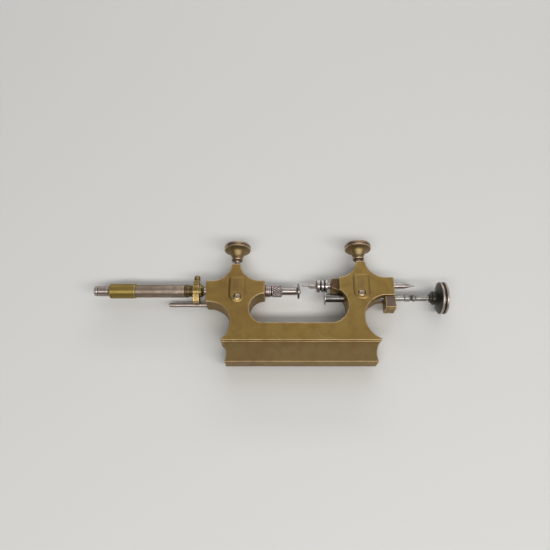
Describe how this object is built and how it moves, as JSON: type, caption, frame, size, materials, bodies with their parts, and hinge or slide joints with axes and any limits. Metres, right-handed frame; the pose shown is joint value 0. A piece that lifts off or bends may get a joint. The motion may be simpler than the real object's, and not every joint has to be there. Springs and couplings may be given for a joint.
{
  "type": "watchmaker's pivot tool",
  "caption": "Brass bench tool for turning and burnishing watch pivots: a vice-held frame with a sliding lantern spindle, a dead centre and a hand-driven ferrule.",
  "frame": {"origin": "centre of the bounding box at its lowest point, the tool lying on its back", "axes": "+X along the spindles towards the drive wheel, +Y from the tenon towards the thumbscrews, +Z out of the front face"},
  "size_m": [0.2246, 0.0812, 0.0206],
  "materials": {
    "aged_brass": "aged, dull olive",
    "bright_brass": "handled, worn bright",
    "worn_steel": "turned, worn",
    "bright_steel": "polished",
    "dark_steel": "oil darkened",
    "blackened_steel": "blackened, satin"
  },
  "bodies": {
    "frame": {"frame": "aged_brass", "left_front_plate": "aged_brass", "right_front_plate": "aged_brass", "left_plate_screw": "worn_steel", "right_plate_screw": "worn_steel", "guide_rod": "worn_steel", "runner_bush": "worn_steel", "bearing_block": "aged_brass", "bearing_block_screw_1": "worn_steel", "bearing_block_screw_2": "worn_steel"},
    "guide_carriage": {"guide_arm": "aged_brass", "arm_hub": "bright_brass", "spindle_ferrule": "bright_brass", "arm_clamp_screw": "aged_brass"},
    "spindle": {"spindle_rod": "worn_steel", "spindle_tube": "worn_steel", "spindle_sleeve": "bright_brass", "spindle_end_cap": "worn_steel", "spindle_end_ring": "dark_steel", "lantern_screw": "bright_steel"},
    "lantern": {"lantern_disc": "bright_steel"},
    "collar": {"chuck_collar": "worn_steel"},
    "left_shoe": {"left_clamp_shoe": "worn_steel"},
    "left_screw": {"left_clamp_screw": "bright_brass"},
    "right_shoe": {"right_clamp_shoe": "worn_steel"},
    "right_screw": {"right_clamp_screw": "bright_brass"},
    "centre": {"centre_runner": "bright_steel"},
    "ferrule": {"carrier_ferrule": "bright_steel", "driver_pin": "dark_steel", "ferrule_catch": "bright_steel"},
    "drive": {"drive_disc": "bright_steel", "drive_shaft": "dark_steel", "drive_wheel": "blackened_steel", "drive_wheel_screw": "dark_steel"}
  },
  "joints": [
    {"name": "spindle_slide", "type": "slide", "parent": "frame", "child": "guide_carriage", "axis": [1, 0, 0], "range_m": [-0.0095, 0.001]},
    {"name": "spindle_turn", "type": "hinge", "parent": "guide_carriage", "child": "spindle", "pos_m": [-0.04685, 0.00745, 0.0103], "axis": [1, 0, 0], "continuous": true},
    {"name": "lantern_turn", "type": "hinge", "parent": "spindle", "child": "lantern", "pos_m": [0.0187, 0.00745, 0.0103], "axis": [1, 0, 0], "continuous": true},
    {"name": "chuck_collar_turn", "type": "hinge", "parent": "frame", "child": "collar", "pos_m": [0.0029, 0.00745, 0.0103], "axis": [1, 0, 0], "range_deg": [0, 360]},
    {"name": "left_clamp_travel", "type": "slide", "parent": "frame", "child": "left_shoe", "axis": [0, 1, 0], "range_m": [0, 0.0011]},
    {"name": "left_clamp_turn", "type": "hinge", "parent": "left_shoe", "child": "left_screw", "pos_m": [-0.0213, 0.01945, 0.0103], "axis": [0, 1, 0], "range_deg": [0, 720]},
    {"name": "right_clamp_travel", "type": "slide", "parent": "frame", "child": "right_shoe", "axis": [0, 1, 0], "range_m": [0, 0.0011]},
    {"name": "right_clamp_turn", "type": "hinge", "parent": "right_shoe", "child": "right_screw", "pos_m": [0.0588, 0.02145, 0.0103], "axis": [0, 1, 0], "range_deg": [0, 720]},
    {"name": "centre_slide", "type": "slide", "parent": "frame", "child": "centre", "axis": [1, 0, 0], "range_m": [-0.0003, 0.008]},
    {"name": "drive_spin", "type": "hinge", "parent": "frame", "child": "drive", "pos_m": [0.0796, 0.00265, 0.0103], "axis": [1, 0, 0], "continuous": true},
    {"name": "ferrule_spin", "type": "hinge", "parent": "frame", "child": "ferrule", "pos_m": [0.0337, 0.01115, 0.0103], "axis": [1, 0, 0], "continuous": true}
  ],
  "couplings": [
    {"joint": "left_clamp_travel", "follows": "left_clamp_turn", "m_per_rad": 0.000079577},
    {"joint": "right_clamp_travel", "follows": "right_clamp_turn", "m_per_rad": 0.000079577},
    {"joint": "ferrule_spin", "follows": "drive_spin", "ratio": -1.2308}
  ]
}
